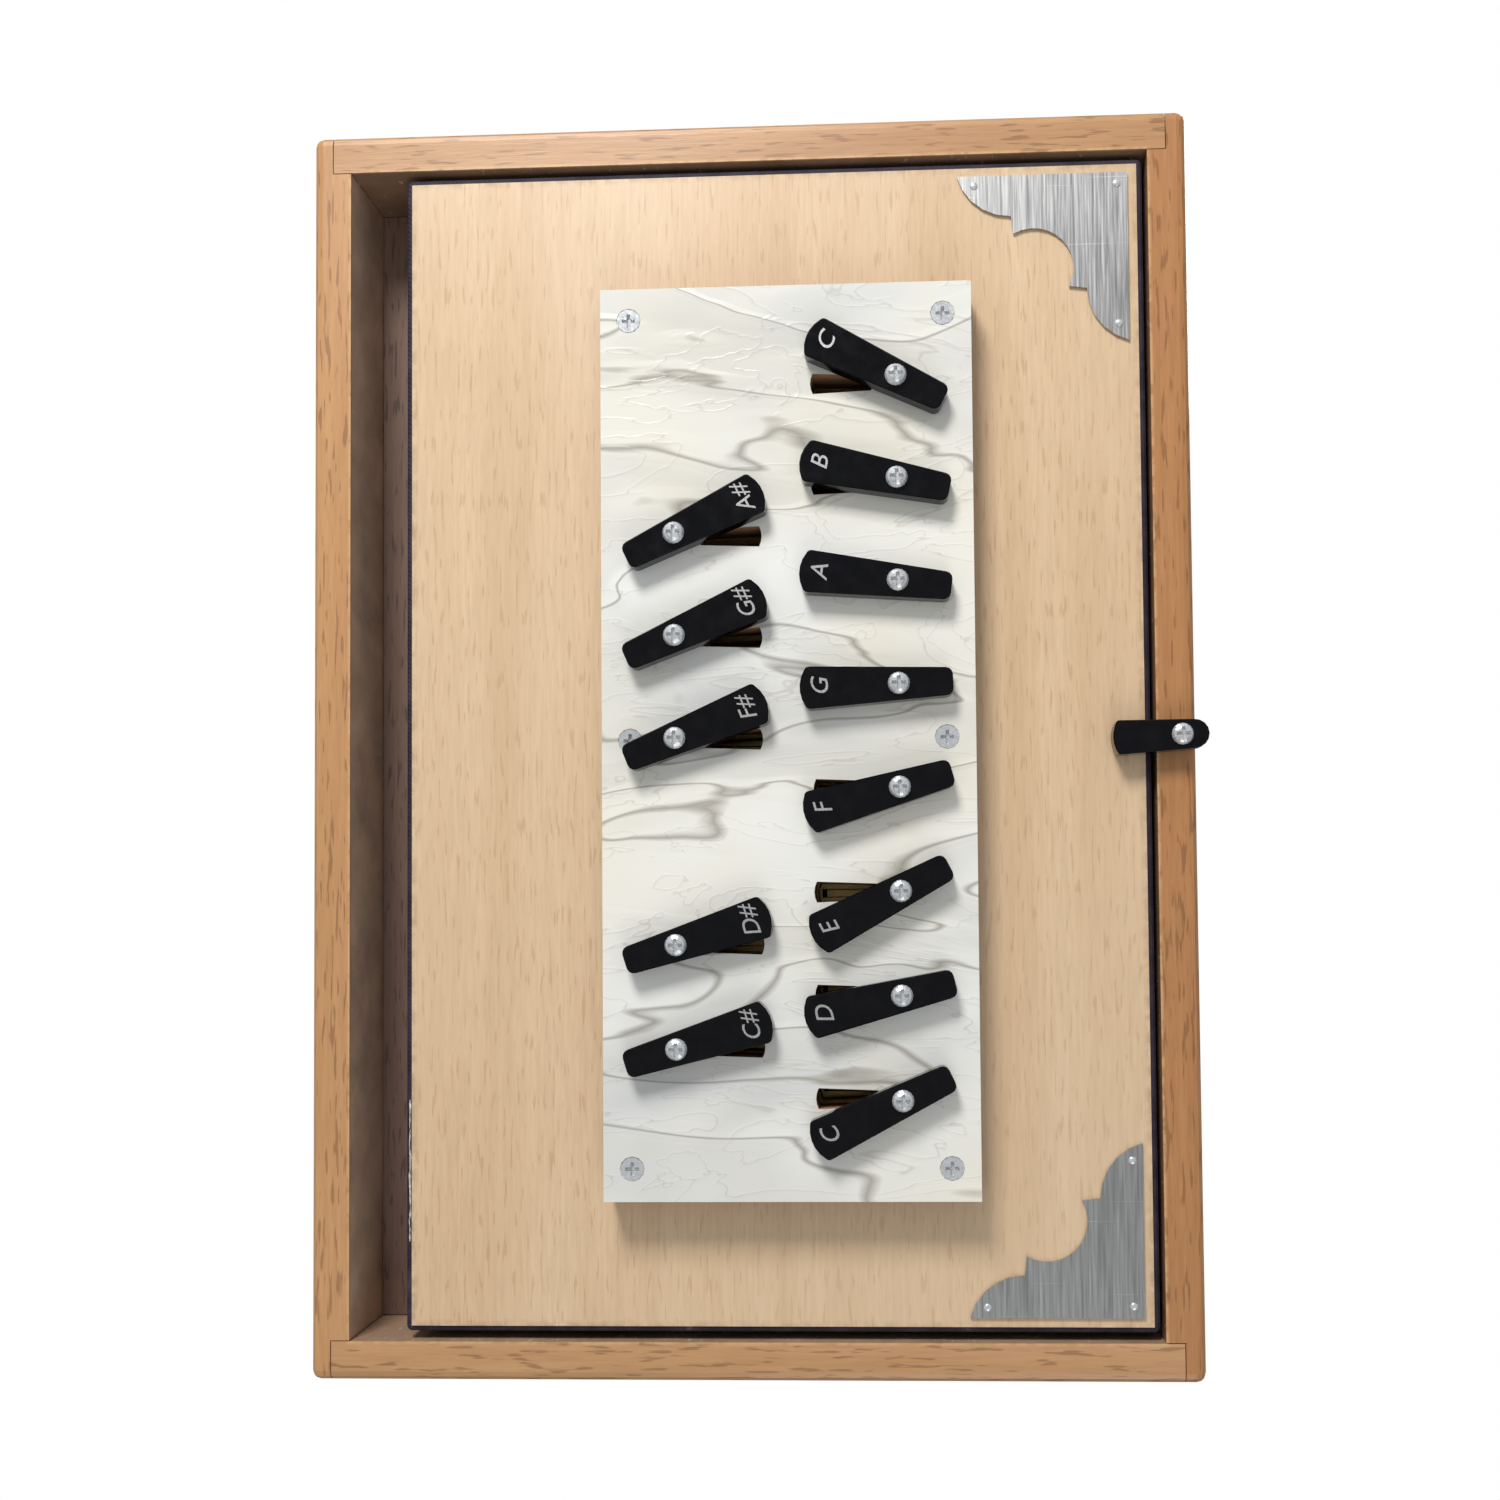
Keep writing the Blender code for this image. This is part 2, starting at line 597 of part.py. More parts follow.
# Latches, on the rim of the latch side wall: the front one closed, the rear one parked
latch_angle = math.asin(LATCH_WIDE / 2 / TAB_END_RADIUS)
latch_centre = -LATCH_REACH + TAB_END_RADIUS
latch_outline = arc((latch_centre, 0), TAB_END_RADIUS, math.pi - latch_angle, math.pi + latch_angle, 6)
latch_outline += arc((LATCH_TAIL - LATCH_NARROW / 2, 0), LATCH_NARROW / 2, -math.pi / 2, math.pi / 2, 8)
latch_mesh = turning_bar(latch_outline, LATCH)
latch_screw_mesh = domed_screw(LATCH + 2 * GAP + LATCH_SCREW_IN_WALL - GAP)
for name, side, facing, turn in (
    ("front_latch", -1, FACING_FRONT, -FRONT_LATCH_TURN),
    ("rear_latch", 1, FACING_REAR, math.radians(90)),
):
    place(name, latch_mesh, BLACK, (LATCH_X, side * (RIM + GAP), LATCH_Z), (facing, turn, 0))
    place(name + "_screw", latch_screw_mesh, ZINC, (LATCH_X, side * (LATCH_FACE + GAP), LATCH_Z), (facing, 0, 0))

# Metal corners: two legs with ogee ends, and a round bay between two spikes
to_spike = math.atan2(SPIKE[1] - BAY_CENTRE, SPIKE[0] - BAY_CENTRE)
bay_radius = math.hypot(SPIKE[0] - BAY_CENTRE, SPIKE[1] - BAY_CENTRE)
tip = math.asin(-OGEE_CENTRE[1] / OGEE_RADIUS)
half_outline = arc(OGEE_CENTRE, OGEE_RADIUS, tip, math.pi / 2, 5)
half_outline += arc((BAY_CENTRE, BAY_CENTRE), bay_radius, to_spike, -math.pi * 0.75, 6)
corner_outline = [(0, 0)] + half_outline + [(y, x) for x, y in reversed(half_outline[:-1])]
corner_mesh = flat_mesh([(-x, -y) for x, y in corner_outline], METAL)
for name, side, facing, axis in (
    ("reservoir_corner", -1, FACING_FRONT, front_axis),
    ("pump_corner", 1, FACING_REAR, rear_axis),
):
    for end, z in (("bottom", BOARD_BOTTOM + METAL_INSET), ("top", BOARD_TOP - METAL_INSET)):
        seen_from = 1 if side < 0 else -1
        level = 0.0 if (end == "top") == (side < 0) else math.radians(90) * seen_from
        spot = (BOARD_RIGHT - METAL_INSET, side * (BOARD_FACE + GAP), z)
        place(f"{name}_{end}", corner_mesh, SHEET, spot, (facing, level, 0), axis)

# Reed boards behind the reservoir board, one for each column, and the brass on them
for name, column in (("natural", "natural"), ("sharp", "sharp")):
    places = [note_place(steps, kind) for note, steps, kind, turn in NOTES if kind == column]
    towards = -1 if column == "natural" else 1
    middle = places[0][0] + towards * (SLOT_REACH + SLOT_START) / 2
    low = min(z for x, z in places) - REED_BOARD_END
    high = max(z for x, z in places) + REED_BOARD_END
    front = -BOARD_BACK + GAP
    back = front + REED_BOARD
    reed_board = box(
        name + "_reed_board",
        (middle - REED_BOARD_HALF, front, low),
        (middle + REED_BOARD_HALF, back, high),
        REED_WOOD,
        front_axis,
    )
    boolean(reed_board, "DIFFERENCE", slot_cutter)
    brass = box(
        name + "_reed_plate",
        (middle - REED_BOARD_HALF + 4 * MM, back + GAP, low + 3 * MM),
        (middle + REED_BOARD_HALF - 2 * MM, back + GAP + REED_PLATE, high - 3 * MM),
        BRASS,
        front_axis,
    )
    reed_slots = bmesh.new()
    tongues = bmesh.new()
    for x, z in places:
        opening = Matrix.Translation((middle, back, z)) @ Matrix.Diagonal((REED_SLOT[1], 8 * REED_PLATE, REED_SLOT[0], 1))
        bmesh.ops.create_cube(reed_slots, size=1.0, matrix=opening)
        spot = (middle + 2 * MM, back + GAP + REED_PLATE + REED_TONGUE[2] / 2 - 0.1 * MM, z)
        size = (REED_TONGUE[1], REED_TONGUE[2], REED_TONGUE[0], 1)
        bmesh.ops.create_cube(tongues, size=1.0, matrix=Matrix.Translation(spot) @ Matrix.Diagonal(size))
    boolean(brass, "DIFFERENCE", helper_object(name + "_reed_slots", mesh_from(reed_slots, "reed_slots")))
    boolean(brass, "UNION", helper_object(name + "_tongues", mesh_from(tongues, "tongues")))

# Wire springs of the reservoir: an arm on the wind board, a coil, and an arm on the board
spring_y = -(FRAME_FACE + BOARD_BACK) / 2
for i, height in enumerate(SPRING_HEIGHTS, 1):
    points = [(SPRING_X + SPRING_ARM, spring_y - SPRING_SPREAD / 2, height)]
    steps = int(COIL_TURNS * COIL_POINTS)
    for k in range(steps + 1):
        turn = -math.pi / 2 - 2 * math.pi * COIL_TURNS * k / steps
        x = SPRING_X + COIL * math.cos(turn)
        y = spring_y + COIL * math.sin(turn)
        points.append((x, y, height + COIL_STEP * COIL_TURNS * k / steps))
    points.append((SPRING_X + SPRING_ARM, spring_y + SPRING_SPREAD / 2, height + COIL_STEP * COIL_TURNS))
    wire = bpy.data.curves.new("spring_wire", "CURVE")
    wire.dimensions = "3D"
    wire.bevel_depth = WIRE
    wire.bevel_resolution = 1
    wire.use_fill_caps = True
    path = wire.splines.new("POLY")
    path.points.add(len(points) - 1)
    for point, (x, y, z) in zip(path.points, points):
        point.co = (x, y, z, 1)
    place(f"reservoir_spring_{i}", wire, STEEL)
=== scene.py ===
"""Looks for the shruti box: finishes, cloth bellows, note letters, small nails and light."""

import math
import random

import bmesh
import bpy
from mathutils import Matrix, Vector


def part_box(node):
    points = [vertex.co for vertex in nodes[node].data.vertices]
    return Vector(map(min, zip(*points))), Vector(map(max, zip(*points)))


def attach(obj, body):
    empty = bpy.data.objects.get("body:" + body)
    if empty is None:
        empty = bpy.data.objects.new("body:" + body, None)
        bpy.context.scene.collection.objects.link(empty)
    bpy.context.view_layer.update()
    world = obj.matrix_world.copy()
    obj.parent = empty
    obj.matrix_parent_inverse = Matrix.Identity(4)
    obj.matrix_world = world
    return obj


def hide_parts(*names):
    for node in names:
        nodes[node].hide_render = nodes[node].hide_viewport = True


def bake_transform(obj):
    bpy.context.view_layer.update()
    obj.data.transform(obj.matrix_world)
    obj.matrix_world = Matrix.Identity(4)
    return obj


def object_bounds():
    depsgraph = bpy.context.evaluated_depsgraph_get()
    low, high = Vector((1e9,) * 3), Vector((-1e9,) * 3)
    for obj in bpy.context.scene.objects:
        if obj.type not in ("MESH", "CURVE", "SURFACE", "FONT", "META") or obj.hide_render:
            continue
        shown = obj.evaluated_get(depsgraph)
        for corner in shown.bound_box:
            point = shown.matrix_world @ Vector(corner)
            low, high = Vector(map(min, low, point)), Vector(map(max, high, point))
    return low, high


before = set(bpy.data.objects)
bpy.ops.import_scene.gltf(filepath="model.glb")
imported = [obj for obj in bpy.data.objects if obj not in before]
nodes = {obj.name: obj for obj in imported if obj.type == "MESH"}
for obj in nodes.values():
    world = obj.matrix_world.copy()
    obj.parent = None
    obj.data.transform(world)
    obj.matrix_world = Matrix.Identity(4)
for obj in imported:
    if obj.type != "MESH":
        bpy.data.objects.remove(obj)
cad_low, cad_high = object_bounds()

# Camera: fitted to the photograph's rim, recess, board and plate corners. The picture is
# square, so the shift is a share of its width.
scene = bpy.context.scene
scene.view_settings.view_transform = "Standard"
lens = bpy.data.cameras.new("photo_camera")
lens.sensor_width = 36.0
lens.lens = 35.08
lens.shift_x = -0.0561
lens.shift_y = 0.0757
camera = bpy.data.objects.new("photo_camera", lens)
camera.location = (0.0460, -0.4968, 0.1466)
camera.rotation_euler = [math.radians(angle) for angle in (91.9006, 0.5216, 2.4193)]
scene.collection.objects.link(camera)
scene.camera = camera

# Room and ground: a soft grey room lights the box, and it is dimmer where it is mirrored, so
# that the black tabs stay black. Past the box the camera sees the pure white ground.
world = bpy.data.worlds.new("room")
world.use_nodes = True
scene.world = world
sky = world.node_tree
rays = sky.nodes.new("ShaderNodeLightPath")
air = sky.nodes["Background"]
air.inputs["Color"].default_value = (0.92, 0.96, 1.0, 1.0)
air.inputs["Strength"].default_value = 0.42
shown = air.outputs["Background"]
for ray, colour, strength in (
    ("Is Glossy Ray", (0.95, 0.97, 1.0, 1.0), 0.2),
    ("Is Camera Ray", (1.0, 1.0, 1.0, 1.0), 1.0),
):
    air = sky.nodes.new("ShaderNodeBackground")
    air.inputs["Color"].default_value = colour
    air.inputs["Strength"].default_value = strength
    choose = sky.nodes.new("ShaderNodeMixShader")
    sky.links.new(rays.outputs[ray], choose.inputs["Fac"])
    sky.links.new(shown, choose.inputs[1])
    sky.links.new(air.outputs["Background"], choose.inputs[2])
    shown = choose.outputs["Shader"]
sky.links.new(shown, sky.nodes["World Output"].inputs["Surface"])

# Lamps: the key comes from above the picture and a little left, well out of the face plane.
# A weaker one in front and below opens the shadows, and one behind lights the back.
MIDDLE_Z = round((cad_low[2] + cad_high[2]) / 2, 4)
for name, place, size, watts in (
    ("key", (-0.28, -0.90, 1.25), 0.40, 16.5),
    ("fill", (0.30, -1.10, -1.10), 0.9, 4.5),
    ("behind", (0.5, 1.4, 1.3), 1.0, 14.0),
):
    lamp = bpy.data.lights.new(name, "AREA")
    lamp.size = size
    lamp.energy = watts
    holder = bpy.data.objects.new(name, lamp)
    holder.location = place
    aim = Vector((0, 0, MIDDLE_Z)) - Vector(place)
    holder.rotation_euler = aim.to_track_quat("-Z", "Y").to_euler()
    scene.collection.objects.link(holder)

# Case walls: four boards of varnished orange-brown wood, rabbeted and glued at the corners,
# the right one redder. Short dark flecks run along each. Inside they are dark stained and
# unpolished, with painted light and shade on top: the hinge side and bottom walls are painted
# lighter inside, the latch side and top walls darker. The inner edge of the rim is worn pale.
MM = 0.001


class Finish:
    """A finish built as a node material. Each value is a number, a colour or a socket."""

    def __init__(self, name, metallic=0.0, coat=0.0):
        self.made = bpy.data.materials.new(name)
        self.made.use_nodes = True
        self.tree = self.made.node_tree
        self.shader = self.tree.nodes["Principled BSDF"]
        self.shader.inputs["Metallic"].default_value = metallic
        self.shader.inputs["Coat Weight"].default_value = coat
        self.place = self.tree.nodes.new("ShaderNodeTexCoord").outputs["Object"]

    def wire(self, node, socket, value):
        if isinstance(value, bpy.types.NodeSocket):
            self.tree.links.new(value, node.inputs[socket])
        else:
            node.inputs[socket].default_value = value

    def moved(self, by):
        node = self.tree.nodes.new("ShaderNodeVectorMath")
        self.wire(node, 0, self.place)
        self.wire(node, 1, by)
        return node.outputs[0]

    def scaled(self, scale, place=None, turn=(0, 0, 0)):
        node = self.tree.nodes.new("ShaderNodeMapping")
        self.wire(node, "Vector", place or self.place)
        node.inputs["Scale"].default_value = scale
        node.inputs["Rotation"].default_value = turn
        return node.outputs["Vector"]

    def noise(self, scale, detail, place=None, roughness=0.55, distortion=0.0):
        node = self.tree.nodes.new("ShaderNodeTexNoise")
        self.wire(node, "Vector", place or self.place)
        self.wire(node, "Scale", scale)
        self.wire(node, "Detail", detail)
        self.wire(node, "Roughness", roughness)
        self.wire(node, "Distortion", distortion)
        return node.outputs[0]

    def maths(self, operation, a, b=0.0):
        node = self.tree.nodes.new("ShaderNodeMath")
        node.operation = operation
        self.wire(node, 0, a)
        self.wire(node, 1, b)
        return node.outputs[0]

    def times(self, a, b):
        return self.maths("MULTIPLY", a, b)

    def distance(self, value, spot):
        return self.maths("ABSOLUTE", self.maths("SUBTRACT", value, spot))

    def step(self, value, low, high, to_low=0.0, to_high=1.0):
        """Maps low..high of a value to to_low..to_high, clamped."""
        node = self.tree.nodes.new("ShaderNodeMapRange")
        sockets = ("Value", "From Min", "From Max", "To Min", "To Max")
        for socket, number in zip(sockets, (value, low, high, to_low, to_high)):
            self.wire(node, socket, number)
        return node.outputs[0]

    def ramp(self, value, stops):
        node = self.tree.nodes.new("ShaderNodeValToRGB")
        self.wire(node, 0, value)
        while len(node.color_ramp.elements) < len(stops):
            node.color_ramp.elements.new(0.5)
        for element, (spot, colour) in zip(node.color_ramp.elements, stops):
            element.position = spot
            element.color = (*colour, 1.0)
        return node.outputs[0]

    def mix(self, share, a, b):
        """Two colours, with this share of the second."""
        node = self.tree.nodes.new("ShaderNodeMix")
        node.data_type = "RGBA"
        self.wire(node, 0, share)
        self.wire(node, 6, a if isinstance(a, bpy.types.NodeSocket) else (*a, 1.0))
        self.wire(node, 7, b if isinstance(b, bpy.types.NodeSocket) else (*b, 1.0))
        return node.outputs[2]

    def axes(self):
        node = self.tree.nodes.new("ShaderNodeSeparateXYZ")
        self.wire(node, 0, self.place)
        return node.outputs

    def material(self, colour, roughness, relief, depth=0.2 * MM, strength=0.5):
        node = self.tree.nodes.new("ShaderNodeBump")
        node.inputs["Strength"].default_value = strength
        node.inputs["Distance"].default_value = depth
        self.wire(node, "Height", relief)
        self.wire(self.shader, "Normal", node.outputs["Normal"])
        self.wire(self.shader, "Base Color", colour)
        self.wire(self.shader, "Roughness", roughness)
        return self.made


def dress(names, material):
    """Gives these CAD nodes the material."""
    for name in names:
        data = nodes[name].data
        data.materials.clear()
        data.materials.append(material)


def wood(name, along, light, dark, fleck, coat=0.0, flecks=0.5, seed=0.0):
    """Wood with its grain along one axis (0 X, 2 Z): bands, fine fibres and short flecks."""
    made = Finish(name, coat=coat)
    shifted = made.moved((seed, seed * 0.7, seed * 1.3))
    stretch = [1.0, 1.0, 1.0]
    stretch[along] = 0.06
    grain = made.scaled(stretch, shifted)
    bands = made.noise(42.0, 5.0, grain, 0.6, 0.6)
    fibres = made.noise(900.0, 3.0, grain, 0.7)
    stretch[along] = 0.11
    marks = made.noise(950.0, 1.0, made.scaled(stretch, shifted), 0.4)
    between = [(a + b) / 2 for a, b in zip(light, dark)]
    colour = made.ramp(bands, [(0.3, dark), (0.5, between), (0.72, light)])
    colour = made.mix(made.step(fibres, 0.35, 0.7, 0.0, 0.35), colour, [c * 0.72 for c in dark])
    colour = made.mix(made.step(marks, 0.6, 0.68, 0.0, flecks), colour, fleck)
    return made, colour, fibres


ACROSS, UPRIGHT = 0, 2
OPENING_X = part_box("latch_side_wall")[0][0]
OPENING_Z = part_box("top_wall")[0][2] - MIDDLE_Z
RIM_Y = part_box("top_wall")[0][1]
VARNISHED, UNPOLISHED = 0.36, 0.7
CASE_FLECK = (0.12, 0.045, 0.015)
DUSTY_SCUFF = (0.62, 0.58, 0.52)
WORN_WOOD = (0.72, 0.44, 0.22)
# Inside colours are dark stain with painted light: lighter on the hinge side and bottom walls,
# darker on the latch side and top walls.
for i, (name, along, light, dark, inside_stain_and_painted_light) in enumerate((
    ("hinge_side_wall", UPRIGHT, (0.70, 0.39, 0.18), (0.52, 0.25, 0.095), (0.60, 0.41, 0.285)),
    ("latch_side_wall", UPRIGHT, (0.60, 0.29, 0.115), (0.42, 0.175, 0.06), (0.22, 0.11, 0.055)),
    ("bottom_wall", ACROSS, (0.68, 0.39, 0.19), (0.50, 0.25, 0.10), (0.34, 0.22, 0.14)),
    ("top_wall", ACROSS, (0.64, 0.37, 0.18), (0.47, 0.235, 0.10), (0.26, 0.15, 0.09)),
)):
    made, colour, fibres = wood(
        name + "_wood", along, light, dark, CASE_FLECK, coat=0.3, flecks=0.42, seed=0.37 * i
    )
    x, y, z = made.axes()
    past_side = made.maths("SUBTRACT", made.maths("ABSOLUTE", x), OPENING_X)
    past_end = made.maths("SUBTRACT", made.distance(z, MIDDLE_Z), OPENING_Z)
    depth = made.maths("MAXIMUM", past_side, past_end)
    inner = made.times(
        made.step(depth, 0.4 * MM, 0.1 * MM), made.step(y, RIM_Y, RIM_Y + 1.2 * MM)
    )
    blotches = made.noise(60.0, 4.0)
    scuffs = made.noise(700.0, 2.0, made.scaled((1.0, 0.35, 1.0)))
    # The inner faces take this stain with its painted light and shade, blotched and dusty.
    stain_and_painted_light = made.mix(
        made.step(blotches, 0.3, 0.7), [c * 0.8 for c in inside_stain_and_painted_light], [c * 1.4 for c in inside_stain_and_painted_light]
    )
    stain_and_painted_light = made.mix(made.step(scuffs, 0.66, 0.72, 0.0, 0.6), stain_and_painted_light, DUSTY_SCUFF)
    colour = made.mix(made.times(inner, 0.92), colour, stain_and_painted_light)
    arris = made.times(
        made.step(depth, 1.1 * MM, 0.2 * MM),
        made.step(y, RIM_Y + 0.8 * MM, RIM_Y + 0.2 * MM),
    )
    worn = made.times(arris, made.step(made.noise(300.0, 3.0), 0.38, 0.55, 0.1, 0.75))
    colour = made.mix(worn, colour, WORN_WOOD)
    roughness = made.step(inner, 0.0, 1.0, VARNISHED, UNPOLISHED)
    dress([name], made.material(colour, roughness, fibres, 0.12 * MM, 0.35))

# Frames and wind board: plain dark stained wood, glued in the case. They carry the two
# bellows, and the front frame shows as a strip at the hinge.
made, colour, fibres = wood(
    "stained_wood", UPRIGHT, (0.34, 0.21, 0.15), (0.17, 0.10, 0.075), (0.04, 0.025, 0.02)
)
dress(["wind_board", "reservoir_frame", "pump_frame"], made.material(colour, 0.6, fibres))


# Springs: round steel wire with one and a half turns and two arms, standing in the front
# bellows. Each stands for the CAD's rigid spring.
def meshed(drawing):
    """Makes a mesh of a curve or of words."""
    shown = bpy.data.objects.new("drawing", drawing)
    scene.collection.objects.link(shown)
    bpy.context.view_layer.update()
    mesh = bpy.data.meshes.new_from_object(
        shown.evaluated_get(bpy.context.evaluated_depsgraph_get())
    )
    bpy.data.objects.remove(shown, do_unlink=True)
    return mesh


def piece_of(name, mesh, material):
    """Puts a finished mesh in the scene at the origin, in one material."""
    mesh.materials.clear()
    mesh.materials.append(material)
    piece = bpy.data.objects.new(name, mesh)
    scene.collection.objects.link(piece)
    return piece


made = Finish("drawn_wire", metallic=1.0)
drawn = made.noise(1200.0, 3.0, made.scaled((0.05, 1, 1)))
colour = made.mix(made.step(drawn, 0.3, 0.7), (0.36, 0.36, 0.38), (0.6, 0.6, 0.62))
steel = made.material(colour, 0.3, drawn, 0.08 * MM)
WIRE = 1.1 * MM
COIL = 6.5 * MM
COIL_TURNS = 1.5
TURN_POINTS = 32
for name in ("reservoir_spring_1", "reservoir_spring_2"):
    low, high = (Vector(corner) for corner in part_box(name))
    bottom, rise = low.z + WIRE, high.z - low.z - 2 * WIRE
    middle = Vector((low.x + WIRE + COIL, (low.y + high.y) / 2))
    reach = (high.y - low.y) / 2 - WIRE
    points = [(high.x, middle.y - reach, bottom)]
    for k in range(int(COIL_TURNS * TURN_POINTS) + 1):
        share = k / (COIL_TURNS * TURN_POINTS)
        turn = -math.pi / 2 - 2 * math.pi * COIL_TURNS * share
        along_x, along_y = COIL * math.cos(turn), COIL * math.sin(turn)
        points.append((middle.x + along_x, middle.y + along_y, bottom + rise * share))
    points.append((high.x, middle.y + reach, bottom + rise))
    wire = bpy.data.curves.new(name + "_wire", "CURVE")
    wire.dimensions = "3D"
    wire.bevel_depth = WIRE
    wire.bevel_resolution = 3
    wire.use_fill_caps = True
    path = wire.splines.new("POLY")
    path.points.add(len(points) - 1)
    for point, spot in zip(path.points, points):
        point.co = (*spot, 1)
    piece = piece_of(name + "_wire", meshed(wire), steel)
    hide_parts(name)
    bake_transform(piece)

# Reeds and valves: raw wooden reed boards behind the front board, rolled brass reed plates on
# them, and suede flaps over the air holes. The slots and folds hide nearly all of them.
made, colour, fibres = wood(
    "reed_wood", UPRIGHT, (0.55, 0.36, 0.19), (0.40, 0.24, 0.12), (0.2, 0.1, 0.05),
    flecks=0.4, seed=5.0,
)
dress(
    ["natural_reed_board", "sharp_reed_board"],
    made.material(colour, 0.65, fibres, strength=0.4),
)
made = Finish("rolled_brass", metallic=1.0)
rolled = made.noise(900.0, 3.0, made.scaled((0.04, 1, 1)))
colour = made.mix(made.step(rolled, 0.3, 0.7), (0.62, 0.42, 0.15), (0.84, 0.64, 0.30))
brass = made.material(colour, made.step(rolled, 0.3, 0.7, 0.22, 0.4), rolled, 0.1 * MM)
dress(["natural_reed_plate", "sharp_reed_plate"], brass)
made = Finish("suede")
nap = made.noise(1100.0, 5.0)
colour = made.mix(made.step(nap, 0.3, 0.7), (0.42, 0.29, 0.18), (0.66, 0.50, 0.34))
suede = made.material(colour, 0.85, nap, 0.4 * MM, 0.6)
dress(["delivery_valve_flap", "intake_valve_flap"], suede)


# Bellows: dark purple-black coated cloth, folded three times and glued to frame and board.
# The folds are deepest at the free edge. Each ring is a closed shell between the case and its
# board, and it stands for the plainer CAD ring.
def hoop_shell(hoops):
    """Extrudes a ring of edges through each hoop of points and back to the first."""
    work = bmesh.new()
    ring = [work.verts.new(spot) for spot in hoops[0]]
    edges = [work.edges.new(pair) for pair in zip(ring, ring[1:] + ring[:1])]
    for hoop in hoops[1:] + hoops[:1]:
        grown = set(bmesh.ops.extrude_edge_only(work, edges=edges)["geom"])
        beside = [[edge.other_vert(vert) for edge in vert.link_edges] for vert in ring]
        ring = [next(vert for vert in around if vert in grown) for around in beside]
        for vert, spot in zip(ring, hoop):
            vert.co = spot
        edges = [work.edges.get(pair) for pair in zip(ring, ring[1:] + ring[:1])]
    bmesh.ops.remove_doubles(work, verts=work.verts, dist=0.001 * MM)
    bmesh.ops.recalc_face_normals(work, faces=work.faces)
    return work


def mesh_of(work, name, smooth=False):
    """Makes a mesh of a bmesh and frees it."""
    mesh = bpy.data.meshes.new(name)
    work.to_mesh(mesh)
    work.free()
    for face in mesh.polygons:
        face.use_smooth = smooth
    return mesh


made = Finish("bellows_cloth")
weave = made.tree.nodes.new("ShaderNodeTexWave")
weave.wave_type = "BANDS"
weave.bands_direction = "DIAGONAL"
made.wire(weave, "Vector", made.place)
made.wire(weave, "Scale", 420.0)
made.wire(weave, "Distortion", 1.5)
dust = made.noise(150.0, 6.0)
colour = made.mix(made.step(dust, 0.4, 0.7), (0.014, 0.008, 0.020), (0.040, 0.026, 0.046))
colour = made.mix(made.step(dust, 0.68, 0.75, 0.0, 0.25), colour, (0.22, 0.20, 0.20))
cloth = made.material(colour, 0.75, weave.outputs[0])
BULGE = 2.2 * MM
FOLD = 16.0 * MM
FOLD_AT_HINGE = 0.8 * MM
FOLD_COUNT = 3
FOLD_STEPS = 6
FULLNESS = 0.8
SHELL = 1.6 * MM
SIDE_STEPS = 40
CORNER = 4.0 * MM
CORNER_STEPS = 4
RIPPLE = 0.25 * MM
levels = [i / (FOLD_STEPS * FOLD_COUNT) for i in range(FOLD_STEPS * FOLD_COUNT + 1)]
for name, board, body in (
    ("reservoir_cloth", "reservoir_board", "reservoir"),
    ("pump_cloth", "pump_board", "pump"),
):
    bellows = name.replace("cloth", "bellows")
    low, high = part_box(board)
    frame_y, board_y = sorted((corner[1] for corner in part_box(bellows)), key=abs)
    hoops = []
    for share, shell in [(s, 0.0) for s in levels] + [(s, SHELL) for s in reversed(levels)]:
        y = board_y + (frame_y - board_y) * share
        drawn_in = abs(math.sin(math.pi * FOLD_COUNT * share)) ** FULLNESS
        at_free = FOLD * drawn_in + shell - BULGE
        at_hinge = FOLD_AT_HINGE * drawn_in + shell - BULGE
        left, right = low[0] + at_hinge, high[0] - at_free
        corners = [
            Vector(corner) for corner in (
                (left, low[2] + at_hinge), (right, low[2] + at_free),
                (right, high[2] - at_free), (left, high[2] - at_hinge),
            )
        ]
        centre = Vector(((left + right) / 2, (corners[0].y + corners[3].y) / 2))
        outline = []
        for k, corner in enumerate(corners):
            before, after = corners[k - 1], corners[(k + 1) % 4]
            start = corner + (before - corner).normalized() * CORNER
            end = corner + (after - corner).normalized() * CORNER
            for t in [step / CORNER_STEPS for step in range(CORNER_STEPS + 1)]:
                outline.append(start.lerp(corner, t).lerp(corner.lerp(end, t), t))
            leave = after + (corner - after).normalized() * CORNER
            for step in range(1, SIDE_STEPS):
                outline.append(end.lerp(leave, step / SIDE_STEPS))
        hoop = []
        for k, spot in enumerate(outline):
            ripple = abs(RIPPLE * math.sin(k * 0.9 + share * 9) * drawn_in)
            spot = spot + (centre - spot).normalized() * ripple
            hoop.append((spot.x, y, spot.y))
        hoops.append(hoop)
    piece = piece_of(name, mesh_of(hoop_shell(hoops), name, smooth=True), cloth)
    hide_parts(bellows)
    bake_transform(piece)

# Bellows boards: pale beech veneer under varnish, hinged by the cloth. Grain and flecks run
# upright, and the edges are rubbed grey-brown by handling.
made, colour, fibres = wood(
    "beech_veneer", UPRIGHT, (0.82, 0.60, 0.38), (0.70, 0.47, 0.27), (0.50, 0.29, 0.14),
    coat=0.35, flecks=0.45, seed=2.1,
)
low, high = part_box("reservoir_board")
half_x, half_z = (high[0] - low[0]) / 2, (high[2] - low[2]) / 2
x, y, z = made.axes()
rim_x = made.step(made.distance(x, (low[0] + high[0]) / 2), half_x - 2.5 * MM, half_x)
rim_z = made.step(made.distance(z, (low[2] + high[2]) / 2), half_z - 2.3 * MM, half_z)
handled = made.step(made.noise(220.0, 4.0), 0.4, 0.6)
rubbed = made.times(made.maths("MAXIMUM", rim_x, rim_z), handled)
colour = made.mix(made.times(rubbed, 0.5), colour, (0.28, 0.17, 0.10))
